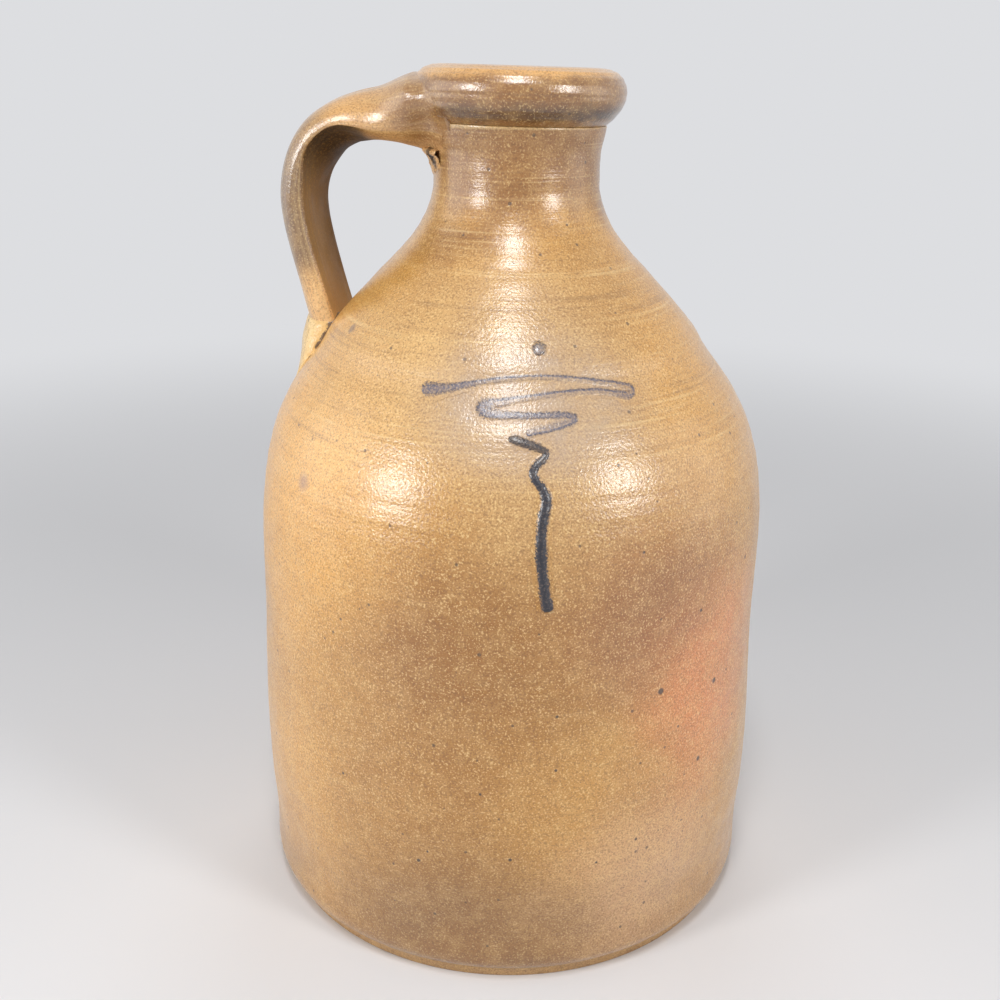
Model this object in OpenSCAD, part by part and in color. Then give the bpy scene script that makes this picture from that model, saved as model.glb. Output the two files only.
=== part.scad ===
// Stoneware crock jug: a thrown body, a rolled collar, a strap handle and trailed slip.
// Millimetres. The jug stands on z = 0 with its axis on Z, and the handle points along -X.
// A turn is an angle about the axis, in degrees, from -Y towards +X.

/* [Body] */
// Height of the nearly straight wall, from the bottom up to the shoulder
wall_h = 132; // [100:1:170]
// Height of the shoulder, from the wall up to the neck
shoulder_h = 109; // [85:1:140]
// Height of the neck, from the shoulder up to the ledge under the collar
neck_h = 21.5; // [15:0.5:32]
// Outer radius at the top of the wall, where the shoulder starts
body_r = 86.3; // [70:0.1:105]
// Outer radius at the bottom of the neck
neck_r = 27.4; // [24.5:0.1:34]
// Thickness of the wall
wall_t = 7; // [5:0.5:9]
// Thickness of the floor
floor_t = 9; // [6:0.5:13]
// Radius of the rounding inside, between floor and wall
floor_round = 12; // [8:0.5:18]

/* [Foot] */
// Height at which the rounded foot is fullest
foot_h = 10; // [8:0.5:13]
// How far the rounded foot tucks in below that height
foot_tuck = 2.4; // [1.5:0.1:3.5]
// Height of the cut bevel around the bottom edge
bevel_h = 4.8; // [3:0.1:6]
// How far that bevel cuts in
bevel_in = 1.7; // [1:0.1:2.5]

/* [Mouth and collar] */
// Radius of the mouth, which a cork closes
mouth_r = 17; // [14:0.5:19]
// Thickness of the rim that stands up inside the collar
rim_t = 5; // [3.5:0.5:6]
// Radius of the rounded edge at the top of the mouth
mouth_round = 2.5; // [1.5:0.5:4]
// Height of the collar above the ledge
collar_h = 17.5; // [13:0.5:22]
// How far the collar stands out past the ledge
collar_out = 5.6; // [4:0.1:8]
// How far the collar's lower edge sits back from the edge of the ledge
ledge_w = 0.4; // [0.2:0.1:0.8]

/* [Handle] */
// Height of the handle, from the top of the collar down to the middle of the lower joint
handle_h = 90; // [74:1:108]
// Depth of the middle of the strap's root below the top of the collar
root_drop = 14.5; // [13:0.5:16]
// How far the strap bows out past a straight line between its joints
handle_bow = 30; // [24:0.5:36]
// Thickness of the strap at its middle
handle_t = 10.6; // [8:0.1:13]
// Width of the strap at its middle
handle_w = 28; // [22:0.5:34]

/* [Joint clay] */
// Depth of the clay pressed in under the strap's upper root
root_clay_d = 11; // [8:0.5:14]
// Half the angle that this clay covers around the neck, in degrees
root_clay_turn = 36; // [28:1:42]
// Height of the clay wiped down over the strap's lower end
pad_h = 26; // [21:0.5:31]
// Width of that clay
pad_w = 30; // [24:0.5:36]
// How far that clay stands out from the shoulder at its thickest
pad_out = 13.5; // [11:0.5:16]

/* [Slip flourish] */
// Turn of the flourish's stem about the jug
flourish_turn = 17; // [0:1:40]
// Depth of the slip dot below the bottom of the neck
flourish_drop = 38; // [30:1:50]
// Height of the flourish, from the dot down to the end of the tail
flourish_h = 70; // [55:1:85]
// Width of the flourish, along the surface
flourish_w = 61; // [48:1:75]
// Width of the thin strokes
stroke_w = 2; // [1.6:0.1:2.6]
// How far the thin strokes stand out
stroke_out = 0.5; // [0.4:0.1:0.8]
// Width of the tail
tail_w = 3.7; // [3:0.1:4.6]
// How far the tail stands out
tail_out = 1; // [0.8:0.1:1.3]
// Diameter of the dot
dot_d = 5; // [4:0.1:6]
// How far the dot stands out
dot_out = 1.6; // [1.2:0.1:2]

/* [Hidden] */
$fn = 96;

clay_colour = [0.66, 0.45, 0.25];
collar_colour = [0.55, 0.39, 0.22];
handle_colour = [0.58, 0.42, 0.26];
joint_colour = [0.74, 0.55, 0.32];
slip_colour = [0.22, 0.25, 0.34];
tail_colour = [0.12, 0.13, 0.19];

// Heights of the seams, from the bottom up
shoulder_z = wall_h;
neck_z = shoulder_z + shoulder_h;
ledge_z = neck_z + neck_h;
top_z = ledge_z + collar_h;
flourish_z = neck_z - flourish_drop;

// Greatest distance between the outlines' points
outline_step = 4.2;
// Clearance between added clay or slip and the surface that it lies on
slip_gap = 0.06;

// The wall: share of its height above the foot, share of body_r
wall_shares = [[0, 1.009], [0.06, 1.006], [0.13, 1.007], [0.24, 1.015], [0.42, 1.016],
               [0.61, 1.009], [0.75, 1.003], [0.9, 1.002]];
// The shoulder: share of its height, share of the way in from neck_r to body_r
shoulder_shares = [[0, 1], [0.08, 0.991], [0.155, 0.974], [0.23, 0.949], [0.31, 0.91], [0.385, 0.857],
                   [0.46, 0.776], [0.54, 0.654], [0.615, 0.555], [0.69, 0.428], [0.77, 0.29],
                   [0.845, 0.156], [0.92, 0.056]];
// The neck: share of its height, share of neck_r
neck_shares = [[0, 1], [0.28, 0.988], [0.55, 0.988], [0.82, 1.01], [1, 1.03]];
// The collar below its fullest height: share of collar_out, share of collar_h
collar_under_shares = [[0, 0], [0.37, 0.11], [0.7, 0.27], [0.92, 0.44], [1, 0.58]];
// The collar above that: share of the way out from the rim to its fullest radius, share of collar_h
collar_over_shares = [[0.975, 0.7], [0.88, 0.83], [0.72, 0.925], [0.5, 0.98], [0.25, 1], [0, 1]];

// The strap's middle line, from inside the neck to inside the shoulder: share of the way down from
// the root to the lower joint, share of handle_bow out from the straight line, share of handle_t,
// share of handle_w
strap_shares = [[0, -0.388, 2.55, 1.4], [-0.003, -0.087, 2.4, 1.34], [0.001, 0.194, 1.84, 1.2],
                [0.009, 0.448, 1.53, 1.1], [0.033, 0.691, 1.32, 1.04], [0.079, 0.89, 1.17, 1.02],
                [0.152, 0.995, 1.08, 1.02], [0.248, 1, 1.02, 1], [0.357, 0.92, 1, 1],
                [0.471, 0.777, 1.01, 0.97], [0.596, 0.582, 1.04, 0.93], [0.728, 0.351, 1.07, 0.9],
                [0.868, 0.093, 1.08, 0.88], [1.007, -0.174, 1.08, 0.88], [1.166, -0.497, 1.08, 0.86]];
// Rings swept between two entries of that table
strap_steps = 4;
// Points around the strap's section
strap_sides = 24;
// Share of the strap's thickness that lies inside its widest line
strap_inside_share = 0.32;
// Powers that round the strap's crowned outer face and its flatter inner face
crown_power_share = 0.9;
flat_power_share = 0.5;

// The clay under the root: share of root_clay_d out from the neck, share of it down from the strap
root_clay_shares = [[0, 1.1], [0, 0.6], [0, 0], [0.8, 0], [0.5, 0.14], [0.29, 0.36], [0.14, 0.68]];
root_clay_rings = 20;
// Stations of the strap's table between which the clay meets its lower face
root_stations = [0.4, 1];
// Share of the clay's size that is left at its two ends
root_clay_end_share = 0.35;

// The wiped clay on the shoulder, from the top down: share of pad_h, share of pad_w, share of pad_out
pad_shares = [[-0.02, 0.74, 0.9], [0.05, 0.88, 1], [0.16, 0.96, 0.9], [0.28, 1, 0.74], [0.42, 1, 0.54],
              [0.56, 0.96, 0.36], [0.7, 0.88, 0.2], [0.84, 0.76, 0.09], [1, 0.5, 0.01]];
// Share of pad_h that lies above the middle of the lower joint
pad_rise_share = 0.3;
pad_sides = 14;
// Power that rounds the wiped clay across its width
pad_power_share = 0.7;

// The zigzag's strokes: share of flourish_w across from the stem, share of flourish_h down, and
// share of stroke_w
zigzag_shares = [
    [[-0.56, 0.178, 1.5], [-0.52, 0.17, 1.6], [-0.44, 0.155, 1.2], [-0.3, 0.125, 0.9], [-0.18, 0.111, 0.9],
     [-0.04, 0.104, 0.8], [0.1, 0.107, 0.9], [0.25, 0.119, 0.9], [0.36, 0.132, 0.9], [0.44, 0.148, 1],
     [0.475, 0.165, 1]],
    [[0.465, 0.205, 0.9], [0.41, 0.182, 1], [0.3, 0.162, 0.9], [0.19, 0.16, 0.9], [0.1, 0.163, 0.9],
     [0, 0.172, 0.9], [-0.1, 0.185, 1], [-0.17, 0.198, 1.1], [-0.255, 0.215, 1.3]],
    [[-0.285, 0.248, 1.4], [-0.2, 0.25, 1.1], [-0.06, 0.25, 0.9], [0.06, 0.25, 0.9], [0.145, 0.253, 0.9]],
    [[0.15, 0.285, 0.9], [0.1, 0.29, 1], [0.04, 0.3, 1.1], [-0.02, 0.308, 1.1], [-0.06, 0.314, 1]]];
// The tail, with shares of tail_w
tail_shares = [[-0.141, 0.331, 0.45], [-0.086, 0.341, 0.75], [-0.04, 0.355, 0.72], [0.01, 0.372, 0.62],
               [0.03, 0.388, 0.6], [0.01, 0.406, 0.65], [-0.03, 0.426, 0.72], [-0.045, 0.45, 0.75],
               [-0.033, 0.479, 0.75], [-0.01, 0.509, 0.8], [0.003, 0.547, 0.95], [-0.003, 0.586, 1],
               [-0.013, 0.624, 1], [-0.018, 0.704, 1], [-0.017, 0.787, 1], [-0.012, 0.87, 0.98],
               [0, 0.956, 0.98], [0.01, 0.99, 1.05]];
// Points spread between two entries of a stroke's table
stroke_steps = 3;
// Share of its width that a stroke keeps at its two ends
stroke_end_share = 0.35;
// Section of a stroke: share of half its width, share of its height
stroke_section_shares = [[-1, 0], [-0.72, 0.62], [0, 1], [0.72, 0.62], [1, 0], [0, 0]];
// Section of the dot, in the same shares
dot_section_shares = [[-1, 0], [-0.8, 0.55], [-0.4, 0.9], [0, 1], [0.4, 0.9], [0.8, 0.55], [1, 0], [0, 0]];
dot_rings = 8;
// Share of its width that the dot keeps at its two ends
dot_end_share = 0.15;

// Small part of a station, over which the direction of a swept line is measured
nudge = 0.05;

// Catmull-Rom slope and value of a table of [position, value] pairs
function slope(t, i) =
    let (a = max(i - 1, 0), b = min(i + 1, len(t) - 1))
    (t[b][1] - t[a][1]) / (t[b][0] - t[a][0]);
function span_of(t, x) = max([for (i = [0:len(t) - 2]) if (t[i][0] <= x || i == 0) i]);
function smooth_value(t, x) =
    let (i = span_of(t, x), w = t[i + 1][0] - t[i][0], u = (x - t[i][0]) / w)
    let (a = t[i][1], b = t[i + 1][1], p = slope(t, i) * w, q = slope(t, i + 1) * w)
    a + u * (p + u * (3 * (b - a) - 2 * p - q + u * (2 * (a - b) + p + q)));

// Value at a station u of a list of equal-length rows, smooth through every row
function row_at(rows, u) =
    let (last = len(rows) - 1, i = min(floor(u), last - 1), f = u - i)
    let (a = rows[max(i - 1, 0)], b = rows[i], c = rows[i + 1], d = rows[min(i + 2, last)])
    b + f / 2 * ((c - a) + f * ((2 * a - 5 * b + 4 * c - d) + f * (3 * (b - c) + d - a)));

// Heights and outer radii of the body, from the foot up to the ledge
body_line = concat(
    [for (s = wall_shares) [foot_h + s[0] * (wall_h - foot_h), s[1] * body_r]],
    [for (s = shoulder_shares) [shoulder_z + s[0] * shoulder_h, neck_r + s[1] * (body_r - neck_r)]],
    [for (s = neck_shares) [neck_z + s[0] * neck_h, s[1] * neck_r]]);
function radius_at(z) = smooth_value(body_line, z);

foot_r = body_line[0][1];
ledge_r = radius_at(ledge_z);
rim_r = mouth_r + rim_t;
collar_foot_r = ledge_r - ledge_w;
collar_r = collar_foot_r + collar_out;

// Heights spread evenly from a to b, no further apart than outline_step
function heights(a, b) =
    let (n = ceil((b - a) / outline_step))
    [for (i = [0:n]) a + (b - a) * i / n];

// Outer outline of the body, from the bottom edge to the outer edge of the ledge
outer_points = concat(
    [[foot_r - foot_tuck - bevel_in, 0], [foot_r - foot_tuck, bevel_h]],
    [for (a = [30, 60]) [foot_r - foot_tuck * (1 - sin(a)), foot_h - (foot_h - bevel_h) * cos(a)]],
    [for (z = heights(foot_h, shoulder_z)) [radius_at(z), z]],
    [for (i = [1:len(heights(shoulder_z, ledge_z)) - 1])
        let (z = heights(shoulder_z, ledge_z)[i]) [radius_at(z), z]]);

// Radius of the hollow, at heights above the rounding of the floor
function share_in(z) = (radius_at(z) - neck_r) / (body_r - neck_r);
function hollow_r(z) =
    z < shoulder_z ? radius_at(z) - wall_t : mouth_r + (body_r - wall_t - mouth_r) * share_in(z);
hollow_z = floor_t + floor_round;
hollow_points = concat(
    [[0, floor_t]],
    [for (a = [0:15:75]) [hollow_r(hollow_z) - floor_round * (1 - sin(a)), hollow_z - floor_round * cos(a)]],
    [for (z = heights(hollow_z, shoulder_z)) [hollow_r(z), z]],
    [for (i = [1:len(heights(shoulder_z, neck_z)) - 2])
        let (z = heights(shoulder_z, neck_z)[i]) [hollow_r(z), z]],
    [[mouth_r, neck_z], [mouth_r, top_z - mouth_round]],
    [for (a = [15:15:75]) [mouth_r + mouth_round * (1 - cos(a)), top_z - mouth_round * (1 - sin(a))]]);

// Outer outline of the collar, from its lower edge to the top of the rim
collar_points = concat(
    [for (s = collar_under_shares) [collar_foot_r + s[0] * collar_out, ledge_z + s[1] * collar_h]],
    [for (s = collar_over_shares) [rim_r + s[0] * (collar_r - rim_r), ledge_z + s[1] * collar_h]]);

// Skin through rings of points that all run the same way round, closed at both ends
module skin(rings) {
    n = len(rings[0]);
    last = len(rings) - 1;
    sides = [for (i = [0:last - 1], j = [0:n - 1]) let (k = (j + 1) % n)
        each [[i * n + j, i * n + k, (i + 1) * n + k], [i * n + j, (i + 1) * n + k, (i + 1) * n + j]]];
    start_cap = [for (j = [1:n - 2]) [0, j + 1, j]];
    end_cap = [for (j = [1:n - 2]) [last * n, last * n + j, last * n + j + 1]];
    polyhedron([for (r = rings) each r], concat(sides, start_cap, end_cap));
}

// The body and collar as one filled solid, which cuts what is joined on to them
module filled_jug() {
    rotate_extrude() polygon(concat([[0, 0]], outer_points, collar_points, [[0, top_z]]));
}

module thrown_body() {
    color(clay_colour)
        rotate_extrude()
            polygon(concat([[0, 0]], outer_points, [[rim_r, ledge_z], [rim_r, top_z],
                [mouth_r + mouth_round, top_z]], [for (i = [len(hollow_points) - 1:-1:0]) hollow_points[i]]));
}

module lip_collar() {
    color(collar_colour)
        rotate_extrude()
            polygon(concat([[rim_r, ledge_z]], collar_points));
}

// The strap: its rows in millimetres are height, distance from the axis, thickness and width
handle_foot_z = top_z - handle_h;
handle_foot_r = radius_at(handle_foot_z);
strap_rows = [for (s = strap_shares) [top_z - root_drop - s[0] * (handle_h - root_drop),
    collar_r + (handle_foot_r - collar_r) * s[0] + s[1] * handle_bow, s[2] * handle_t, s[3] * handle_w]];
function strap_row(u) = row_at(strap_rows, u);
function signed_power(v, p) = sign(v) * pow(abs(v), p);
function strap_across(a, w) = signed_power(cos(a), sin(a) > 0 ? crown_power_share : flat_power_share) * w / 2;
function strap_depth(a, t) = sin(a) > 0
    ? (strap_inside_share - 0.5 + (1 - strap_inside_share) * signed_power(sin(a), crown_power_share)) * t
    : (strap_inside_share - 0.5 + strap_inside_share * signed_power(sin(a), flat_power_share)) * t;
function strap_ring(u) =
    let (r = strap_row(u), step = strap_row(u + nudge) - strap_row(u - nudge))
    let (len_step = norm([step[0], step[1]]), out = [-step[0], step[1]] / len_step)
    [for (k = [0:strap_sides - 1]) let (a = 360 * k / strap_sides, h = strap_depth(a, r[2]))
        [-(r[1] + out[0] * h), strap_across(a, r[3]), r[0] + out[1] * h]];
strap_stations = (len(strap_shares) - 1) * strap_steps;
module strap_solid() {
    skin([for (i = [0:strap_stations])
        strap_ring(min(max(i / strap_steps, nudge), len(strap_shares) - 1 - nudge))]);
}

module strap_handle() {
    color(handle_colour)
        difference() {
            strap_solid();
            filled_jug();
        }
}

// The clay under the root: a hollow-faced fillet swept around the neck, smaller towards its ends
root_rows = [for (u = root_stations) strap_row(u)];
root_z = root_rows[0][0] - root_rows[0][2] / 2;
root_rise = (root_rows[1][0] - root_rows[1][2] / 2 - root_z) / (root_rows[1][1] - root_rows[0][1]);
module upper_joint_clay() {
    color(joint_colour)
        skin([for (i = [0:root_clay_rings])
            let (f = 2 * i / root_clay_rings - 1, turn = f * root_clay_turn)
            let (size = root_clay_d * (1 - (1 - root_clay_end_share) * f * f))
            [for (s = root_clay_shares)
                let (x = (radius_at(root_z) + slip_gap + s[0] * size) * cos(turn))
                let (z = root_z + root_rise * (x - root_rows[0][1]) - s[1] * size - slip_gap)
                let (r = radius_at(z) + slip_gap + s[0] * size)
                [-r * cos(turn), r * sin(turn), z]]]);
}

// The wiped clay: rings across the strap's plane, each crowned over the shoulder
module lower_joint_clay() {
    color(joint_colour)
        difference() {
            skin([for (s = pad_shares)
                let (z = handle_foot_z + (pad_rise_share - s[0]) * pad_h)
                let (w = s[1] * pad_w, h = s[2] * pad_out)
                [for (k = [0:pad_sides])
                    let (a = 180 * k / pad_sides, across = cos(a) * w / 2)
                    let (base = sqrt(max(pow(radius_at(z), 2) - across * across, 0)))
                    let (lift = k == 0 || k == pad_sides ? -wall_t / 2 : pow(sin(a), pad_power_share) * h)
                    [-(base + lift), across, z]]]);
            filled_jug();
            strap_solid();
            // The clay stays open behind the strap
            translate([handle_t / 2, 0, 0]) strap_solid();
        }
}

// A point on the jug, at an arc across from the stem and a height, standing out by lift
function on_jug(across, z, lift) =
    let (r = radius_at(z), turn = flourish_turn + across / r * 180 / PI)
    [(r + lift) * sin(turn), -(r + lift) * cos(turn), z];

// One trailed stroke: a low dome swept along rows of [across, down, width], with rounded ends
module stroke(rows, w, lift) {
    n = (len(rows) - 1) * stroke_steps;
    skin([for (i = [0:n])
        let (u = i / stroke_steps, r = row_at(rows, u))
        let (d = row_at(rows, min(u + nudge, len(rows) - 1)) - row_at(rows, max(u - nudge, 0)))
        let (along = [d[0] * flourish_w, d[1] * flourish_h], side = [along[1], along[0]] / norm(along))
        let (end = i == 0 || i == n ? stroke_end_share : 1)
        let (half = r[2] * w / 2 * end, top = lift * min(r[2], 1) * end)
        [for (s = stroke_section_shares)
            on_jug(r[0] * flourish_w + side[0] * half * s[0],
                flourish_z - r[1] * flourish_h + side[1] * half * s[0], slip_gap + top * s[1])]]);
}

module slip_dot() {
    color(slip_colour)
        skin([for (i = [0:dot_rings])
            let (a = 180 * i / dot_rings, width_share = max(sin(a), dot_end_share))
            [for (s = dot_section_shares)
                on_jug(s[0] * width_share * dot_d / 2, flourish_z + cos(a) * dot_d / 2,
                    slip_gap + s[1] * width_share * dot_out)]]);
}

module slip_zigzag() {
    color(slip_colour)
        union() {
            for (rows = zigzag_shares)
                stroke(rows, stroke_w, stroke_out);
        }
}

module slip_tail() {
    color(tail_colour)
        stroke(tail_shares, tail_w, tail_out);
}

thrown_body();
lip_collar();
strap_handle();
upper_joint_clay();
lower_joint_clay();
slip_dot();
slip_zigzag();
slip_tail();
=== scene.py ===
# %% [markdown]
# # A stoneware crock jug
# The jug is one vessel of thrown clay with a rolled collar round its mouth, a pulled strap
# handle, two bits of joining clay and a flourish of blue slip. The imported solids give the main
# sizes, and this file dresses them: each solid is replaced by a finer piece in the same place.
# The file starts by loading those solids, and keeps the box that they fill.

# %% Load the solids
import math

import bpy
from mathutils import Matrix, Vector, noise


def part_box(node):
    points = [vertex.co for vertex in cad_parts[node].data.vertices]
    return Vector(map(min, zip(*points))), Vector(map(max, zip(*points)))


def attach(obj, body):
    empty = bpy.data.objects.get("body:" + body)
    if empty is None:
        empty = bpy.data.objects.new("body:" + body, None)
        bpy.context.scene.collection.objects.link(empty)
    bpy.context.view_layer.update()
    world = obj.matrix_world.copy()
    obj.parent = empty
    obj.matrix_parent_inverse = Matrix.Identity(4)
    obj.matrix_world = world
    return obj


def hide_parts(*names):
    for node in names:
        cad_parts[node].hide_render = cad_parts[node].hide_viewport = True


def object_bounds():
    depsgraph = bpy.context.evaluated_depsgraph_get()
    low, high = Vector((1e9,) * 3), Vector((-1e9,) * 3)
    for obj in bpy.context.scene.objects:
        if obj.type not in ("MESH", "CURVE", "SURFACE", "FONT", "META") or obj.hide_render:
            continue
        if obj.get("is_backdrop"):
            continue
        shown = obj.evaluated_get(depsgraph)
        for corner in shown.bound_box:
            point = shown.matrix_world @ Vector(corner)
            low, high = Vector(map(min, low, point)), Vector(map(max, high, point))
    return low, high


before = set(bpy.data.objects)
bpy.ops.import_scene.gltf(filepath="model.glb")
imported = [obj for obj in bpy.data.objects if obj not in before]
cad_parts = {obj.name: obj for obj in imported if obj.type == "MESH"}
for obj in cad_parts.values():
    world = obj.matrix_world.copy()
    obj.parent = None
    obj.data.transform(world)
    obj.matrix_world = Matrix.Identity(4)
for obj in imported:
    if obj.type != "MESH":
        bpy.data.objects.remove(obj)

MM = 0.001

solid_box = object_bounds()
print("the solids fill", solid_box)

# %% [markdown]
# ## Camera
# The photograph looks down on the jug from close by, so the foot curves strongly and the mouth
# hides behind its collar. A camera can be aimed with a constraint, but this view also leans a
# little, so the matrix is put together from its pitch, pan and roll.

# %% Camera
VIEW_TURN = math.radians(10)
CAMERA_PITCH = math.radians(20.17)
CAMERA_PAN = math.radians(10.46)
CAMERA_ROLL = math.radians(0.72)
CAMERA_PLACE = (0.0673, -0.3835, 0.2778)
camera_data = bpy.data.cameras.new("jug_camera")
camera_data.sensor_width = 36
camera_data.lens = 42.37
camera = bpy.data.objects.new("jug_camera", camera_data)
bpy.context.scene.collection.objects.link(camera)
turn_pan = Matrix.Rotation(CAMERA_PAN, 3, "Z")
sight = turn_pan @ Vector((0, math.cos(CAMERA_PITCH), -math.sin(CAMERA_PITCH)))
level_up = turn_pan @ Vector((0, math.sin(CAMERA_PITCH), math.cos(CAMERA_PITCH)))
level_right = turn_pan @ Vector((1, 0, 0))
lean_right = math.cos(CAMERA_ROLL) * level_right + math.sin(CAMERA_ROLL) * level_up
lean_up = -math.sin(CAMERA_ROLL) * level_right + math.cos(CAMERA_ROLL) * level_up
facing = Matrix((lean_right, lean_up, -sight)).transposed().to_4x4()
camera.matrix_world = Matrix.Translation(CAMERA_PLACE) @ facing
bpy.context.scene.camera = camera
bpy.context.scene.view_settings.view_transform = "Standard"
print("camera at", [round(v, 4) for v in camera.location])

# %% [markdown]
# ## Reading the jug's outline
# A thrown pot is round, so one line of heights and radii describes all of it. That line could be
# typed again here, but the solid already holds it: the points of its mesh whose normals look
# outwards are the outside, and those that look inwards are the hollow. Between the points the
# line is drawn with a smooth curve, which hides the solid's small flats.

# %% Outline of a turned solid
def read_outline(solid, side):
    """Heights and radii in millimetres where the surface looks outwards (1) or inwards (-1)."""
    at_axis = 0.001
    facing_least = 0.05
    widest = {}
    for vertex in solid.data.vertices:
        r = math.hypot(vertex.co.x, vertex.co.y)
        if r < at_axis:
            continue
        looks = (vertex.co.x * vertex.normal.x + vertex.co.y * vertex.normal.y) / r
        if looks * side > facing_least:
            z = round(vertex.co.z / MM, 2)
            widest[z] = max(widest.get(z, 0), r / MM)
    return sorted(widest.items())


def curve_value(points, x):
    """Smooth value of a list of (position, value) pairs at x."""
    last = len(points) - 1
    i = 0
    while i < last - 1 and points[i + 1][0] <= x:
        i += 1
    (x0, a), (x1, b) = points[i], points[i + 1]
    before, after = points[max(i - 1, 0)], points[min(i + 2, last)]
    w = x1 - x0
    p = (b - before[1]) / (x1 - before[0]) * w
    q = (after[1] - a) / (after[0] - x0) * w
    u = (x - x0) / w
    return a + u * (p + u * (3 * (b - a) - 2 * p - q + u * (2 * (a - b) + p + q)))


body_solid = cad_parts["thrown_body"]
LEDGE_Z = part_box("lip_collar")[0].z / MM
TOP_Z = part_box("lip_collar")[1].z / MM
outside = [p for p in read_outline(body_solid, 1) if p[0] < LEDGE_Z + 0.01]
inside = read_outline(body_solid, -1)
LEDGE_R = outside[-1][1]
MOUTH_R = min(r for z, r in inside)
print("outline has", len(outside), "points outside and", len(inside), "inside")
print("ledge", round(LEDGE_R, 2), "at", round(LEDGE_Z, 2), "mouth", round(MOUTH_R, 2))

# %% [markdown]
# ## Marks of the potter's hand
# A clean lathe shape looks like plastic. The real wall carries a spiral of shallow ridges from the
# fingers, leans a hair to one side and back, and its mouth isn't quite level. These could be bump
# alone, but the light runs along them at the limbs, so they move the points of the mesh. Slip,
# handle and joints all use the same function, so they follow the wall they sit on.

# %% Wall with throwing ridges
BROAD_PITCH = 9.3
CLOSE_PITCH = 3.6


def bump_at(x, middle, reach):
    """1 at the middle, falling off like a bell."""
    return math.exp(-((x - middle) / reach) ** 2)


def ramp(x, low, high):
    """0 below low, 1 above high, and smooth between."""
    share = min(max((x - low) / (high - low), 0), 1)
    return share * share * (3 - 2 * share)


def tucked(z):
    """The wall dried a little narrower, and draws in on the turn of the shoulder."""
    drawn = 0.5 * (1 - ramp(z, LEDGE_Z - 10, LEDGE_Z - 1))
    return 0.4 * bump_at(z, 58, 32) - 1.3 * bump_at(z, 182, 15) - 0.45 * bump_at(z, 222, 16) - drawn


def throwing(turn, z):
    """Millimetres that the hand added to the true outline, mostly in spiral ridges.

    The close ridges rise by one pitch a turn, so they meet where a turn ends. The broad ones
    don't, and step there by up to 0.14 mm, which is too little to see.
    """
    spiral = z + CLOSE_PITCH * turn / (2 * math.pi)
    drift = noise.noise(Vector((0.3, 7.1, spiral / 11)))
    broad = math.sin(2 * math.pi * spiral / BROAD_PITCH + 2.6 * drift)
    close = math.sin(2 * math.pi * spiral / CLOSE_PITCH + 4.1 * drift)
    high = ramp(z, 120, 175) * (1 - 0.65 * ramp(z, 222, 238))
    ridges = broad * (0.02 + 0.05 * high) + close * (0.01 + 0.035 * high) * (0.6 + drift)
    return tucked(z) + ridges * ramp(z, 8, 20) * (1 - ramp(z, LEDGE_Z - 8, LEDGE_Z - 1))


def side_lean(z):
    """Millimetres that the wall leans to the camera's right at a height."""
    return 0.3 + 0.3 * bump_at(z, 152, 24) - 0.4 * bump_at(z, 88, 30) + 0.25 * ramp(z, 196, 240)


def mouth_tilt(x, y, z):
    """The neck sank a little as it dried, and dips towards the camera's right."""
    across = x * math.cos(VIEW_TURN) + y * math.sin(VIEW_TURN)
    sunk = -0.95 - 0.018 * across
    return sunk * ramp(z, LEDGE_Z - 16, LEDGE_Z) - 0.55 * ramp(z, LEDGE_Z + 3, TOP_Z)


def settle(x, y, z):
    """A point in millimetres, leaned and tilted as the whole vessel is."""
    lean = side_lean(z)
    return Vector((x + lean * math.cos(VIEW_TURN), y + lean * math.sin(VIEW_TURN),
                   z + mouth_tilt(x, y, z)))


def on_wall(turn, z, lift=0.0):
    """A point on the wall, or lifted off it; turn is 0 at the front and grows to the right."""
    r = curve_value(outside, z) + throwing(turn, z) + lift
    return settle(r * math.sin(turn), -r * math.cos(turn), z)


print("110 mm up, the wall is", round(-on_wall(0, 110).y, 1), "mm in front of the axis")

# %% [markdown]
# ## Building pieces from rings
# Every piece of this jug is a run of rings or ribs joined by quads: rings round the axis for the
# body and the collar, rings round the strap, ribs across the trails of slip. One helper joins
# them, and another makes the object, smooths it, hangs it under the jug's root and hides the
# solid that it replaces.

# %% Rings to a piece
def join_rings(count, sides, closed=True, start=0):
    """Quads between neighbouring rings, or ribs where closed is False."""
    faces = []
    for i in range(count - 1):
        for j in range(sides if closed else sides - 1):
            k = (j + 1) % sides
            low, high = start + i * sides, start + (i + 1) * sides
            faces.append((low + j, low + k, high + k, high + j))
    return faces


def make_piece(name, points, faces, solid, finishes, face_finish=None, trail=None):
    """One dressed piece, in place of a solid; trail holds a pair for each point's UV."""
    mesh = bpy.data.meshes.new(name)
    mesh.from_pydata([p * MM for p in points], [], faces)
    for finish in finishes:
        mesh.materials.append(finish)
    mesh.polygons.foreach_set("use_smooth", [True] * len(mesh.polygons))
    if face_finish:
        mesh.polygons.foreach_set("material_index", face_finish)
    if trail:
        layer = mesh.uv_layers.new(name="trail")
        for loop in mesh.loops:
            layer.data[loop.index].uv = trail[loop.vertex_index]
    mesh.update()
    piece = bpy.data.objects.new(name, mesh)
    bpy.context.scene.collection.objects.link(piece)
    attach(piece, "root")
    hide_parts(solid)
    print(name, len(points), "points", len(faces), "faces")


# %% [markdown]
# ## Mixing a finish
# Salt glaze is not one colour. It drifts from tan to orange where the flame passed, breaks into
# grains and iron specks, and its skin is dimpled like orange peel. All of that is mixed from noise
# in the jug's own millimetres, so the pattern keeps its scale wherever the piece sits. Small
# helpers keep the node trees readable: one mottles, one spreads, one blends, one finds a spot, and
# a small class carries a finish from its first colour to the shader.

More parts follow.
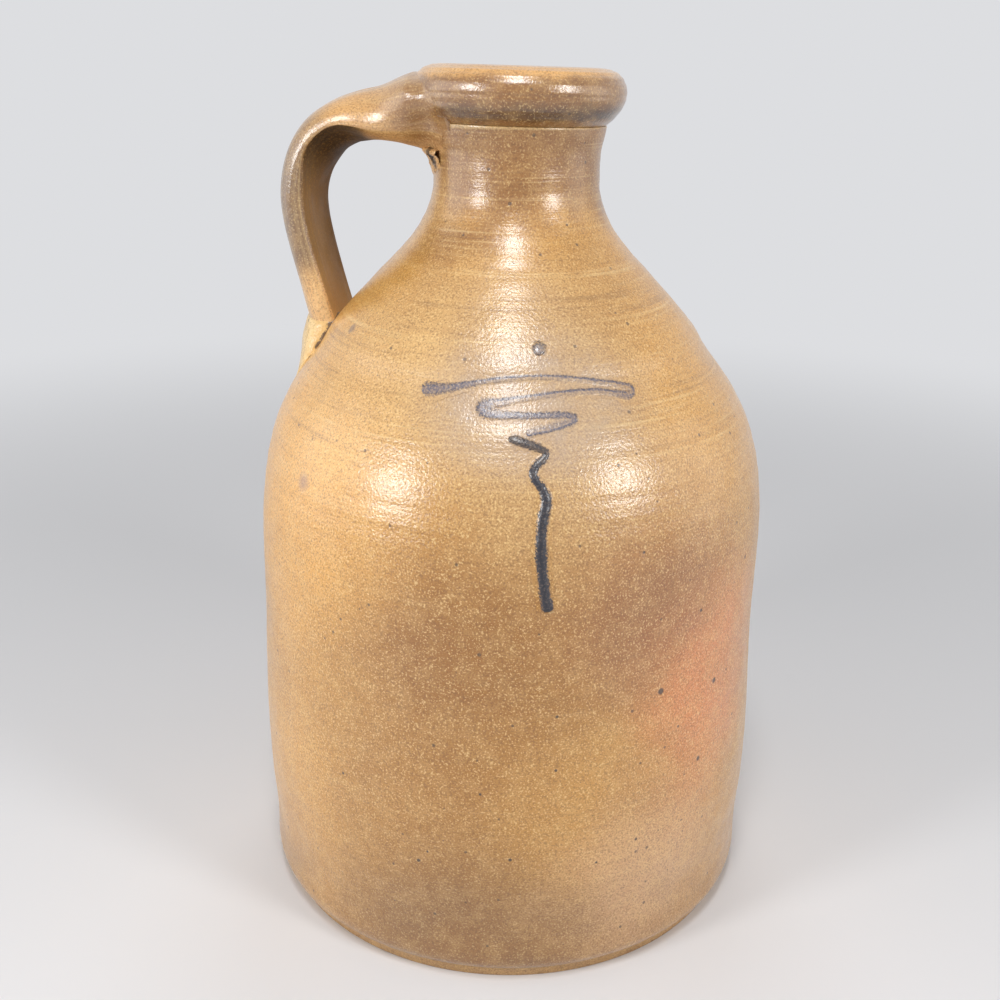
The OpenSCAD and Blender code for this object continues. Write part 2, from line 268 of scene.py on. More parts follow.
# %% Helpers for the finishes
def clay(red, green, blue):
    """A colour given as 0 to 255 on the screen, in the linear numbers that a shader takes."""
    shares = [v / 255 for v in (red, green, blue)]
    linear = [v / 12.92 if v <= 0.04045 else ((v + 0.055) / 1.055) ** 2.4 for v in shares]
    return tuple(linear) + (1.0,)


def add_node(tree, kind, inputs, **settings):
    """A shader node with its inputs linked or set, and its settings filled in."""
    made = tree.nodes.new("ShaderNode" + kind)
    for name, value in settings.items():
        setattr(made, name, value)
    for socket, value in inputs.items():
        if isinstance(value, bpy.types.NodeSocket):
            tree.links.new(value, made.inputs[socket])
        else:
            made.inputs[socket].default_value = value
    return made


def sums(tree, how, first, second):
    """One step of arithmetic on two values."""
    return add_node(tree, "Math", {0: first, 1: second}, operation=how).outputs[0]


def times(tree, first, second):
    """The product of two values."""
    return sums(tree, "MULTIPLY", first, second)


def stretch(tree, place, factors):
    """A place with each of its three ways scaled."""
    return add_node(tree, "VectorMath", {0: place, 1: factors}, operation="MULTIPLY").outputs[0]


def mottle(tree, place, size, detail=2.0, rough=0.5):
    """Soft noise with blotches about size millimetres across."""
    inputs = {"Vector": place, "Scale": 1 / size, "Detail": detail, "Roughness": rough}
    return add_node(tree, "TexNoise", inputs).outputs["Fac"]


def spread(tree, value, low, high, out_low=0.0, out_high=1.0):
    """A value eased from the range low to high into another range."""
    inputs = {0: value, 1: low, 2: high, 3: out_low, 4: out_high}
    return add_node(tree, "MapRange", inputs, interpolation_type="SMOOTHSTEP").outputs[0]


def blend(tree, share, first, second):
    """Two colours mixed, with share of the second."""
    return add_node(tree, "Mix", {0: share, 6: first, 7: second}, data_type="RGBA").outputs[2]


def spot(tree, place, centre, reach, core=0.0):
    """1 inside core millimetres of a point, fading to 0 at reach."""
    away = add_node(tree, "VectorMath", {0: place, 1: centre}, operation="DISTANCE").outputs["Value"]
    return spread(tree, away, core, reach, 1.0, 0.0)


print("mid grey is", [round(v, 3) for v in clay(128, 128, 128)[:3]])


# %% A finish in the making
class Finish:
    """A finish in the making: its nodes, its place on the jug, and the colour and height so far."""

    def __init__(self, name, colour):
        self.material = bpy.data.materials.new(name)
        self.material.use_nodes = True
        self.tree = self.material.node_tree
        self.shader = self.tree.nodes["Principled BSDF"]
        where = add_node(self.tree, "TexCoord", {}).outputs["Object"]
        self.place = stretch(self.tree, where, (1000.0, 1000.0, 1000.0))
        self.z = add_node(self.tree, "SeparateXYZ", {0: self.place}).outputs[2]
        self.colour = colour
        self.height = None

    def tint(self, share, shade, strength=None):
        """Mix a shade into the colour where share says."""
        if strength is not None:
            share = times(self.tree, share, strength)
        self.colour = blend(self.tree, share, self.colour, shade)

    def lift(self, what, amount):
        """Raise the height by an amount of something."""
        self.height = sums(self.tree, "ADD", self.height, times(self.tree, what, amount))

    def read_trail(self):
        """Find the way across and along a piece from its trail coordinates."""
        self.way = add_node(self.tree, "UVMap", {}, uv_map="trail").outputs[0]
        split = add_node(self.tree, "SeparateXYZ", {0: self.way})
        self.across, self.along = split.outputs[0], split.outputs[1]

    def fire(self):
        """Give the finished colour and height to the shader; the coat shows less of the height."""
        self.tree.links.new(self.colour, self.shader.inputs["Base Color"])
        for socket, depth in (("Normal", MM), ("Coat Normal", 0.6 * MM)):
            inputs = {"Strength": 1.0, "Distance": depth, "Height": self.height}
            bump = add_node(self.tree, "Bump", inputs).outputs["Normal"]
            self.tree.links.new(bump, self.shader.inputs[socket])
        print(self.material.name, "took", len(self.tree.nodes), "nodes")
        return self.material


# %% [markdown]
# ## Salt-glazed clay
# One recipe serves body, collar, strap and joints, because they were one clay in one kiln. It
# starts from a base colour, lets wide patches of other colours drift in, then adds mottling,
# throwing lines, pale sand grains and dark iron specks, and raises the same grains in the bump.
# The gloss is a coat over a rougher clay: a coat keeps its own highlight, as the glassy salt does.

# %% Salt glaze recipe
SHADE = {
    "tan": clay(198, 144, 66), "gold": clay(148, 94, 24), "ochre": clay(234, 172, 80),
    "grey_tan": clay(198, 160, 110), "blush": clay(222, 134, 74), "rose": clay(144, 86, 48),
    "foot": clay(134, 92, 44), "iron": clay(48, 33, 24), "sand": clay(230, 188, 122),
    "umber": clay(104, 66, 28), "cream": clay(246, 214, 152), "bark": clay(72, 46, 22),
    "collar": clay(140, 95, 44), "strap_grey": clay(108, 84, 58),
}


def line_height(finish, pitch, along=0.02):
    """Noise drawn out sideways into throwing lines."""
    return mottle(finish.tree, stretch(finish.tree, finish.place, (along, along, 1.0)), pitch, 3.0, 0.6)


def salt_glaze(name, base, patches=(), lines=0.0, grain=1.0, coat=0.8, rough=(0.36, 0.5), specks=1.0,
               regions=None, coat_rough=0.18):
    """patches are (colour, centre in mm, reach, core, strength); lines is from 0 to 1."""
    finish = Finish(name, base)
    tree, place, z = finish.tree, finish.place, finish.z
    warp = add_node(tree, "TexNoise", {"Vector": place, "Scale": 1 / 30, "Detail": 2.0})
    shift = add_node(tree, "VectorMath", {0: warp.outputs["Color"], 1: (0.5, 0.5, 0.5)},
                     operation="SUBTRACT")
    shifted = add_node(tree, "VectorMath", {0: shift.outputs[0], 1: (26.0, 26.0, 20.0), 2: place},
                       operation="MULTIPLY_ADD").outputs[0]
    for shade, centre, reach, core, strength in patches:
        finish.tint(spot(tree, shifted, centre, reach, core), shade, strength)
    if regions:
        regions(finish)
    finish.tint(spread(tree, mottle(tree, place, 26, 3.0), 0.35, 0.68, 0.0, 0.18), SHADE["gold"])
    finish.tint(spread(tree, mottle(tree, place, 5.5, 3.0, 0.6), 0.4, 0.66, 0.0, 0.16), SHADE["sand"])
    streak = line_height(finish, 1.5)
    broken = spread(tree, mottle(tree, place, 17, 2.0), 0.36, 0.62, 0.15, 1.0)
    finish.tint(spread(tree, streak, 0.5, 0.32, 0.0, 0.34 * lines), SHADE["umber"], broken)
    finish.tint(spread(tree, streak, 0.56, 0.72, 0.0, 0.26 * lines), SHADE["cream"], broken)
    fine = mottle(tree, place, 0.58, 1.2, 0.6)
    finish.tint(spread(tree, fine, 0.48, 0.34, 0.0, 0.46 * grain), SHADE["umber"])
    pale_share = times(tree, spread(tree, z, 200, 236, 0.54 * grain, 0.32 * grain),
                       spread(tree, z, 30, 70, 0.55, 1.0))
    finish.tint(spread(tree, fine, 0.56, 0.7), SHADE["cream"], pale_share)
    cells = add_node(tree, "TexVoronoi", {"Vector": place, "Scale": 1 / 3.4})
    picked = add_node(tree, "SeparateColor", {0: cells.outputs["Color"]}).outputs[0]
    big = spread(tree, picked, 0.8, 1.0, 0.0, 0.16)
    speck = spread(tree, sums(tree, "SUBTRACT", cells.outputs["Distance"], big), 0.05, -0.03)
    finish.tint(speck, SHADE["iron"], 0.7 * specks)
    finish.shader.inputs["Coat Weight"].default_value = coat
    finish.shader.inputs["Coat Roughness"].default_value = coat_rough
    finish.shader.inputs["Coat IOR"].default_value = 1.66
    uneven = spread(tree, mottle(tree, place, 9, 3.0, 0.6), 0.35, 0.7, rough[0], rough[1])
    tree.links.new(uneven, finish.shader.inputs["Roughness"])
    peel = mottle(tree, place, 0.85, 1.5, 0.5)
    finish.height = times(tree, peel, spread(tree, z, 232, 196, 0.1 * grain, 0.22 * grain))
    finish.lift(fine, 0.07 * grain)
    finish.lift(streak, 0.2 * lines)
    finish.lift(speck, -0.06)
    return finish


print(len(SHADE), "shades of clay and glaze")


# %% [markdown]
# ## The wall's colours, with painted shade and light
# The photographed wall is golden brown in the middle, orange-yellow on the left of the shoulder,
# greyer round the flourish and at the foot, and blushed pink low on the right, where the flame
# licked it. Each is a patch with a place, a reach and a strength. Two more spots are painted
# light: shade low at the front of the foot, and light on the neck where the strap's shadow falls.
# The few dark iron spots that anyone would know this jug by are placed one by one.

# %% Finish of the wall
def wall_spot(turn, z, lift=0.0):
    """A place on the wall in millimetres, from a turn in degrees and a height."""
    return tuple(on_wall(math.radians(turn), z, lift))


WALL_PATCHES = [
    (SHADE["gold"], wall_spot(2, 118), 66, 10, 0.85),
    (SHADE["gold"], wall_spot(-8, 60), 52, 6, 0.45),
    (SHADE["ochre"], wall_spot(-52, 158), 78, 22, 0.9),
    (SHADE["ochre"], wall_spot(-58, 66), 60, 10, 0.45),
    (SHADE["grey_tan"], wall_spot(15, 192), 62, 18, 0.8),
    (clay(226, 184, 122), wall_spot(-30, 192), 40, 8, 0.5),
    (SHADE["grey_tan"], wall_spot(20, 160), 40, 5, 0.4),
    (SHADE["rose"], wall_spot(42, 128), 46, 8, 0.75),
    (SHADE["blush"], wall_spot(60, 100), 46, 8, 0.8),
    (SHADE["blush"], wall_spot(52, 70), 40, 4, 0.5),
    (SHADE["tan"], wall_spot(30, 66), 38, 6, 0.6),
    (clay(214, 168, 122), wall_spot(40, 30), 44, 8, 0.8),
    (SHADE["ochre"], wall_spot(66, 190), 46, 6, 0.35),
    (SHADE["gold"], wall_spot(150, 120), 80, 20, 0.6),
    (SHADE["blush"], wall_spot(205, 90), 60, 10, 0.6),
    (SHADE["ochre"], wall_spot(245, 170), 60, 10, 0.5),
]
# Turn in degrees, height, and how wide the spot is.
IRON_SPOTS = [
    (60, 95, 2.0), (43, 100, 2.3), (53, 123, 1.2), (71, 132, 1.4), (71, 172, 1.1),
    (37, 147, 0.9), (33, 172, 0.9), (55, 70, 1.7), (38, 50, 1.1), (29, 45, 0.9),
    (20, 80, 1.0), (20, 98, 1.0), (-8, 45, 1.3), (-6, 49, 0.8), (11, 49, 1.2),
    (5, 72, 0.9), (-26, 68, 1.0), (118, 140, 1.8), (162, 78, 1.5), (214, 116, 2.1),
    (251, 60, 1.2), (190, 186, 1.0),
]


def wall_regions(finish):
    """The foot, the neck and the ledge, which follow height, with a spot of painted shade and one of
    painted light.
    """
    tree, place = finish.tree, finish.place
    wander = spread(tree, mottle(tree, place, 24, 2.0), 0.3, 0.7, -9.0, 9.0)
    level = sums(tree, "ADD", finish.z, wander)
    finish.tint(spread(tree, level, 40, 2, 0.0, 0.5), SHADE["foot"])
    # Painted shade low at the front of the foot.
    finish.tint(spot(tree, place, wall_spot(2, 12), 58, 12), clay(118, 80, 42), 0.7)
    finish.tint(spread(tree, level, 222, 244, 0.0, 0.94), clay(142, 96, 44))
    # Painted light on the left of the neck, where the strap's shadow falls.
    finish.tint(spot(tree, place, wall_spot(-74, 236), 26, 6), clay(214, 172, 118), 0.7)
    finish.tint(spread(tree, finish.z, LEDGE_Z - 2.2, LEDGE_Z - 1.2, 0.0, 0.5), SHADE["cream"])


def glaze_wall(name, coat=0.8):
    """The finish of the wall, with throwing lines on the shoulder and its own iron spots."""
    finish = salt_glaze(name, SHADE["tan"], WALL_PATCHES, lines=0.35, coat=coat, regions=wall_regions,
                        coat_rough=0.25)
    tree, place = finish.tree, finish.place
    here = spread(tree, mottle(tree, place, 15, 2.0), 0.36, 0.62, 0.3, 1.0)
    high_up = times(tree, spread(tree, finish.z, 130, 185), here)
    line = line_height(finish, 1.0, 0.012)
    finish.tint(spread(tree, line, 0.53, 0.72, 0.0, 0.36), SHADE["cream"], high_up)
    finish.tint(spread(tree, line, 0.44, 0.28, 0.0, 0.34), SHADE["umber"], high_up)
    finish.lift(times(tree, line, high_up), 0.14)
    haze_flat = (1.0, 1.0, 1.7)
    haze_centre = (Vector(wall_spot(16, 188)) * Vector(haze_flat))[:]
    haze = spot(tree, stretch(tree, place, haze_flat), haze_centre, 44, 14)
    clouded = spread(tree, mottle(tree, place, 8, 3.0, 0.6), 0.3, 0.7, 0.3, 0.65)
    finish.tint(haze, clay(172, 152, 136), clouded)
    for turn, z, across in IRON_SPOTS:
        share = spot(tree, place, wall_spot(turn, z), across * 0.62, across * 0.3)
        finish.tint(share, SHADE["iron"], 0.88)
        finish.lift(share, -0.12)
    finish.tint(spot(tree, place, wall_spot(-40.5, 158.8), 4.2, 0.6), clay(120, 88, 92), 0.5)
    finish.tint(spot(tree, place, wall_spot(-51, 201.1), 2.4, 0.8), clay(96, 78, 78), 0.6)
    return finish


wall_finish = glaze_wall("salt_glazed_wall").fire()

# %% [markdown]
# ## Bare clay under the foot and inside
# Salt vapour glazes what the flame sees. The cut bevel and the underside stay dry and greyer, with
# the drag marks of the wire that cut the jug off the wheel. Inside, the mouth lets in little
# salt, so the clay is brown and only faintly glossy.

# %% Finish of the foot and the hollow
bare = salt_glaze("bare_foot_clay", clay(178, 140, 98), coat=0.0, rough=(0.62, 0.8), specks=0.6)
drag = mottle(bare.tree, stretch(bare.tree, bare.place, (1.0, 0.06, 1.0)), 2.2, 3.0, 0.6)
bare.tint(spread(bare.tree, drag, 0.4, 0.7, 0.0, 0.35), SHADE["grey_tan"])
bare.lift(drag, 0.35)
bare_finish = bare.fire()
hollow_finish = salt_glaze("brown_hollow", clay(112, 78, 48), lines=0.7, coat=0.2, rough=(0.42, 0.6),
                           specks=0.6).fire()

# %% [markdown]
# ## Collar and mouth finish
# The collar is the glossiest part, where salt pooled: its top edge is bright yellow-tan, partly
# its glaze and partly painted light from above, its band grey-brown and speckled, and under it
# is painted shade in dark brown, with painted warm bounce light by the ledge. The bands follow
# height, so one ramp of height carries them, with noise to keep their borders uneven.

# %% Finish of the collar
def collar_regions(finish):
    """Painted shade under the roll and painted bounce light by the ledge; the top edge is partly glaze,
    partly painted light.
    """
    tree, place = finish.tree, finish.place
    wander = spread(tree, mottle(tree, place, 6, 3.0, 0.6), 0.3, 0.7, -0.7, 0.7)
    level = sums(tree, "ADD", finish.z, wander)
    # Painted shade under the roll of the collar.
    finish.tint(spread(tree, level, LEDGE_Z + 7.0, LEDGE_Z + 2.5, 0.0, 0.98), clay(56, 30, 8))
    # Painted warm bounce light just above the ledge.
    finish.tint(spread(tree, level, LEDGE_Z + 1.6, LEDGE_Z - 0.2, 0.0, 0.6), clay(150, 102, 50))
    # Less of the painted shade where the strap's root meets the collar.
    finish.tint(spot(tree, place, (-25.0, -20.0, 265.0), 14, 6), SHADE["collar"], 0.7)
    # The top edge is lighter, partly its glaze and partly painted light from above.
    finish.tint(spread(tree, level, TOP_Z - 6.0, TOP_Z - 3.0, 0.0, 0.9), clay(228, 172, 98))


lip_finish = salt_glaze("glossy_collar", SHADE["collar"], lines=0.5, coat=1.0, rough=(0.26, 0.4),
                        regions=collar_regions, coat_rough=0.28).fire()

# %% [markdown]
# ## Thrown body
# The body could be a Screw modifier on a profile, but the ridges, the lean and the tilt differ
# from turn to turn, so its rings are made in code: under the foot, up the bevel, the wall and the
# neck, over the ledge and the rim, and down again through the mouth to the floor inside.

# %% Rings of the thrown body
SIDES = 240
WALL, BARE, LIP, HOLLOW = range(4)
BEVEL_TOP = 4.8
WALL_LOW = 11
MOUTH_ROUND = 2.5
MOUTH_DEEP = 36
RIM_SEAT_R = MOUTH_R + 5


def foot_and_wall_rows():
    """Rows of (height, radius, finish) from under the foot to the ledge; on the wall radius is None."""
    foot_r = outside[0][1] + tucked(0)
    made = [(0.0, r, BARE) for r in (0.6, 12, 30, 48, 62, 72, 78, foot_r - 1.4, foot_r - 0.4)]
    low = [0.12, 0.5, 1.4, 2.6, 3.8, 4.4, 4.7, 4.9, 5.2, 5.6, 6.1, 6.7, 7.4, 8.2, 9, 10]
    made += [(z, curve_value(outside, z) + tucked(z), BARE if z < BEVEL_TOP else WALL) for z in low]
    tall = LEDGE_Z - 0.6 - WALL_LOW
    made += [(WALL_LOW + tall * i / int(tall), None, WALL) for i in range(int(tall) + 1)]
    made += [(LEDGE_Z - 0.25, LEDGE_R - 0.02, WALL), (LEDGE_Z - 0.05, LEDGE_R - 0.16, WALL),
             (LEDGE_Z, LEDGE_R - 0.45, WALL), (LEDGE_Z, LEDGE_R - 2, WALL)]
    return made


def mouth_and_hollow_rows():
    """Rows from the ledge over the rim, down the mouth and along the hollow to the floor."""
    made = [(z, RIM_SEAT_R, LIP) for z in (LEDGE_Z, TOP_Z - 3, TOP_Z - 0.06)]
    made.append((TOP_Z - 0.06, MOUTH_R + 3.7, LIP))
    low = TOP_Z - MOUTH_ROUND
    for angle in range(0, 91, 15):
        a = math.radians(angle)
        made.append((low + MOUTH_ROUND * math.cos(a), MOUTH_R + MOUTH_ROUND * (1 - math.sin(a)), LIP))
    made += [(low - 3 * i, MOUTH_R + 0.06 * math.sin(2.1 * i), HOLLOW) for i in range(1, 12)]
    bottom = inside[0][0]
    z = low - MOUTH_DEEP
    while z > bottom + 14:
        made.append((z, curve_value(inside, z) + 0.15 * math.sin(z / 1.7), HOLLOW))
        z -= 4
    for share in (1, 0.7, 0.45, 0.25, 0.1, 0.03):
        made.append((bottom + 12 * share, curve_value(inside, bottom + 12 * share), HOLLOW))
    return made + [(bottom, r, HOLLOW) for r in (64, 45, 25, 8, 0.6)]


print("the collar fits round the rim at radius", round(RIM_SEAT_R, 2))


# %% Thrown body
body_rows = foot_and_wall_rows() + mouth_and_hollow_rows()
body_points = []
for z, r, finish in body_rows:
    for j in range(SIDES):
        turn = 2 * math.pi * j / SIDES
        if r is None:
            body_points.append(on_wall(turn, z))
            continue
        chip = 0.0
        if 0.1 < z < 9.5 and finish in (WALL, BARE):
            round_way = Vector((3 * math.cos(turn), 3 * math.sin(turn), z / 3))
            chip = 0.22 * noise.noise(round_way) * ramp(z, 0, 2)
        body_points.append(settle((r + chip) * math.sin(turn), -(r + chip) * math.cos(turn), z))
body_faces = join_rings(len(body_rows), SIDES)
row_finish = [finish for z, r, finish in body_rows]
body_finish = []
for this, following in zip(row_finish, row_finish[1:]):
    body_finish += [max(this, following) if this >= LIP else following] * SIDES
base_cap = tuple(range(SIDES - 1, -1, -1))
floor_cap = tuple((len(body_rows) - 1) * SIDES + j for j in range(SIDES))
body_faces += [base_cap, floor_cap]
body_finish += [BARE, HOLLOW]
make_piece("jug_body", body_points, body_faces, "thrown_body",
           [wall_finish, bare_finish, lip_finish, hollow_finish], body_finish)

# %% [markdown]
# ## Rolled collar
# The collar was folded over and pressed with a thumb and a rib, so it is round but never exact:
# it swells and thins by a few tenths as it goes, and has a shallow groove near its top edge.
# Its outline comes from the collar's solid, drawn as a smooth curve through its points.

# %% Smooth rows
def smooth_value(f, a, b, c, d):
    """The value a share f of the way from b to c, on a smooth curve through all four."""
    return b + f / 2 * ((c - a) + f * ((2 * a - 5 * b + 4 * c - d) + f * (3 * (b - c) + d - a)))


def smooth_rows(table, steps):
    """Rows spread smoothly through the rows of a table, steps to each span."""
    last = len(table) - 1
    made = []
    for n in range(last * steps + 1):
        i = min(n // steps, last - 1)
        near = [table[max(i - 1, 0)], table[i], table[i + 1], table[min(i + 2, last)]]
        made.append([smooth_value(n / steps - i, *column) for column in zip(*near)])
    return made


print("halfway through an arch", smooth_value(0.5, 0, 1, 1, 0))


# %% Rolled collar
COLLAR_SWELL = 0.22
COLLAR_FULL = 0.3
COLLAR_PUSH = 0.7
collar_line = [(r, z) for z, r in read_outline(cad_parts["lip_collar"], 1)]
collar_line += [(MOUTH_R + 6.5, TOP_Z), (MOUTH_R + 4.4, TOP_Z - 0.02), (MOUTH_R + 4.1, TOP_Z - 0.3)]
collar_rows = [(MOUTH_R + 6, LEDGE_Z + 0.05)] + [tuple(r) for r in smooth_rows(collar_line, 6)]


def on_collar(turn, r, z):
    """A point of the roll, with the swell and the sideways push that the fingers gave it."""
    up = (z - LEDGE_Z) / (TOP_Z - LEDGE_Z)
    round_way = Vector((2.2 * math.cos(turn), 2.2 * math.sin(turn), z / 7))
    swell = COLLAR_SWELL * noise.noise(round_way) * math.sin(math.pi * min(max(up, 0), 1))
    full = COLLAR_FULL * bump_at(z, LEDGE_Z + 4, 3)
    reach = r + (swell + full if r > LEDGE_R - 0.2 else 0)
    aside = COLLAR_PUSH * ramp(up, 0.05, 0.5) * ramp(r, MOUTH_R + 6.5, MOUTH_R + 9)
    return settle(reach * math.sin(turn) + aside * math.cos(VIEW_TURN),
                  -reach * math.cos(turn) + aside * math.sin(VIEW_TURN), z)


collar_points = [on_collar(2 * math.pi * j / SIDES, r, z) for r, z in collar_rows for j in range(SIDES)]
make_piece("rolled_collar", collar_points, join_rings(len(collar_rows), SIDES), "lip_collar",
           [lip_finish])

# %% [markdown]
# ## Pulled strap handle
# A handle like this is pulled from a carrot of wet clay, so it tapers, its outer face is crowned,
# its inner face nearly flat, and finger tracks run along it. A curve with a bevel keeps one
# section all the way; here each ring has its own thickness and width, and the tracks are worked
# into the rings. The upper root spreads and sinks into the collar.

# %% Finish of the strap
STRAP_PATCHES = [
    (clay(222, 168, 98), (-58.0, 0.0, 266.0), 30, 8, 0.8),
    (SHADE["strap_grey"], (-76.0, -10.0, 234.0), 38, 16, 0.9),
    (clay(232, 182, 116), (-66.0, -4.0, 196.0), 26, 10, 0.9),
    (SHADE["collar"], (-21.0, -27.0, 263.0), 24, 10, 0.9),
    (SHADE["collar"], (-21.0, 27.0, 263.0), 24, 10, 0.9),
    (clay(186, 142, 96), (-24.0, -18.0, 251.0), 12, 5, 0.8),
    (clay(186, 142, 96), (-24.0, 18.0, 251.0), 12, 5, 0.8),
]


def glaze_strap(name, coat, rough, shade_inside):
    """The strap's finish; on the face that looks at the jug, shade_inside paints shade away from the
    root, darkest under the arch's top.
    """
    finish = salt_glaze(name, clay(188, 142, 88), STRAP_PATCHES, grain=0.9, coat=coat, rough=rough,
                        coat_rough=0.26)
    finish.read_trail()
    tree, along = finish.tree, finish.along
    tracks = mottle(tree, stretch(tree, finish.way, (34.0, 0.02, 1.0)), 1.0, 3.0, 0.6)
    finish.tint(spread(tree, tracks, 0.5, 0.7, 0.0, 0.24), SHADE["cream"])
    finish.tint(spread(tree, tracks, 0.48, 0.3, 0.0, 0.3), SHADE["bark"])
    # Painted shade for the inner face: near black under the top of the arch, lighter further down.
    brown = blend(tree, spread(tree, along, 2.8, 6.4), clay(28, 16, 7), clay(134, 104, 66))
    brown = blend(tree, spread(tree, along, 8.0, 11.0), brown, clay(192, 154, 104))
    clouds = spread(tree, mottle(tree, finish.place, 0.7, 1.5, 0.6), 0.5, 0.7, 0.0, 0.16)
    brown = blend(tree, clouds, brown, SHADE["tan"])
    finish.tint(spread(tree, along, -0.6, 1.3, 0.0, shade_inside), brown)
    finish.lift(tracks, 0.3)
    return finish


# One copy of the strap's finish is lit; the other, for the inner face, carries painted shade.
strap_finish = glaze_strap("glazed_strap", 0.9, (0.3, 0.45), 0.0).fire()
strap_inside_shaded = glaze_strap("strap_inner_face_shaded", 0.0, (0.55, 0.7), 0.88)
strap_inside_shaded.shader.inputs["Specular IOR Level"].default_value = 0.25
strap_inside_shaded_finish = strap_inside_shaded.fire()

# %% Strap rows and sections
# Distance from the axis, height, thickness and width, from the root's shoulder to inside the wall.
STRAP = [
    (44.5, 263.5, 16.2, 31.6), (49, 263.0, 15.4, 30.4), (55.2, 261.3, 14.5, 29),
    (61.75, 257.75, 13.8, 28.5), (66.5, 252.5, 13.3, 28.5), (69.8, 246.2, 12.2, 28),
    (71.5, 238.4, 11.2, 28), (71.1, 230, 10.9, 27), (69.2, 220.5, 10.8, 26.4),
    (66.6, 210.5, 11.0, 25.6), (63.8, 200, 11.5, 25), (60.4, 189.5, 11.6, 24.6),
    (56.2, 177.5, 11.6, 24),
]
STRAP_SIDES = 72
STRAP_STEPS = 8
strap_rows = smooth_rows(STRAP, STRAP_STEPS)


def strap_ring(i):
    """Points of the strap's D-shaped section at row i, with finger tracks along its faces."""
    r, z, thick, wide = strap_rows[i]
    before, after = strap_rows[max(i - 1, 0)], strap_rows[min(i + 1, len(strap_rows) - 1)]
    down, out = after[1] - before[1], after[0] - before[0]
    length = math.hypot(down, out)
    out_r, out_z = -down / length, out / length
    wave = noise.noise(Vector((i * 0.09, 1.5, 2.0)))
    arch = ramp(i, -2, 20) * (1 - ramp(i, 28, 52))
    inside_share = 0.34 + 0.06 * ramp(i, 26, 50) + 0.15 * arch
    boxy = 0.85 - 0.43 * ramp(i, -4, 24)
    ring = []
    for k in range(STRAP_SIDES):
        a = 2 * math.pi * k / STRAP_SIDES
        c, s = math.cos(a), math.sin(a)
        outer_face = s > 0
        power = 0.9 if outer_face else boxy
        across = math.copysign(abs(c) ** power, c) * wide / 2
        rise = math.copysign(abs(s) ** power, s)
        thin_edge = 1 - 0.85 * arch * ramp(-2 * across / wide, 0.1, 1) if s < 0 else 1
        reach = 1 - inside_share if outer_face else inside_share * thin_edge
        depth = (inside_share - 0.5 + rise * reach) * thick
        track = noise.noise(Vector((across / 3.4, i * 0.035, 5.2 if outer_face else 3.2)))
        depth += 0.35 * track * rise * abs(rise) + 0.15 * wave
        ring.append(Vector((-(r + out_r * depth), across + 0.3 * wave, z + out_z * depth)))
    return ring


print(len(strap_rows), "rings along the strap")


# %% Root of the strap, spread on to the collar and the neck
ROOT_STEPS = 30
ROOT_Z = 264.2
ROOT_TALL = 13.7
ROOT_DEEP = 21.0
ROOT_TURN = math.radians(54)
ROOT_UNDER = -0.12
collar_heights = [(h, w) for w, h in collar_line[:-3]]


def root_surface(turn, z, lift, filled=False):
    """A point on the collar above the ledge, or on the neck below it; filled bridges the groove."""
    if z < LEDGE_Z:
        r = curve_value(outside, z) + throwing(turn, z) + lift
    else:
        r = curve_value(collar_heights, min(z, TOP_Z - 0.05)) + lift
    share = (z - LEDGE_Z + 3) / 11
    if filled and 0 < share < 1:
        low_r = curve_value(outside, LEDGE_Z - 3)
        high_r = curve_value(collar_heights, LEDGE_Z + 8)
        r = max(r, low_r + (high_r - low_r) * share - 0.4)
    if z < LEDGE_Z:
        return settle(r * math.sin(turn), -r * math.cos(turn), z)
    return on_collar(turn, r, z)


first_ring = strap_ring(0)
second_ring = strap_ring(2)
root_rings = [[] for n in range(ROOT_STEPS + 1)]
for k in range(STRAP_SIDES):
    a = 2 * math.pi * k / STRAP_SIDES
    c, s = math.cos(a), math.sin(a)
    side = -math.copysign(abs(c) ** 0.85, c) * ROOT_TURN
    lift_z = math.copysign(abs(s) ** 0.85, s) * (ROOT_TALL if s > 0 else ROOT_DEEP)
    turn = side - math.pi / 2
    root_rings[0].append(root_surface(turn, ROOT_Z + lift_z, -1.4))
    start = root_surface(turn, ROOT_Z + lift_z, ROOT_UNDER, filled=True)
    inner = root_surface(side * 0.92 - math.pi / 2, ROOT_Z + lift_z * 0.92, ROOT_UNDER, filled=True)
    outer = start + (root_surface(turn, ROOT_Z, 2.0) - root_surface(turn, ROOT_Z, 0.0))
    along = (inner - start).normalized()
    away = (outer - start).normalized()
    end = first_ring[k]
    span = (end - start).length
    hug = 0.86 - 0.6 * max(s, 0) + 0.09 * max(-s, 0)
    leave = (along * hug + away * (1 - hug)).normalized() * span * (1.2 + 0.4 * max(-s, 0))
    arrive = (second_ring[k] - end).normalized() * span * 1.0
    hugging = 0.08 * leave.length / max((inner - start).length, 0.5)
    for n in range(ROOT_STEPS):
        u = n / ROOT_STEPS
        start_part = 2 * u ** 3 - 3 * u ** 2 + 1
        free = start_part * start + (1 - start_part) * end
        free = free + (u ** 3 - 2 * u ** 2 + u) * leave + (u ** 3 - u ** 2) * arrive
        near = max(1 - hugging * u * (1 - u / 2), 0.35)
        skin = root_surface(side * near - math.pi / 2, ROOT_Z + lift_z * near, ROOT_UNDER + 0.5 * u,
                            filled=True)
        root_rings[n + 1].append(skin.lerp(free, ramp(u, 0, 0.6 - 0.45 * max(s, 0))))
print(len(root_rings), "rings in its root")

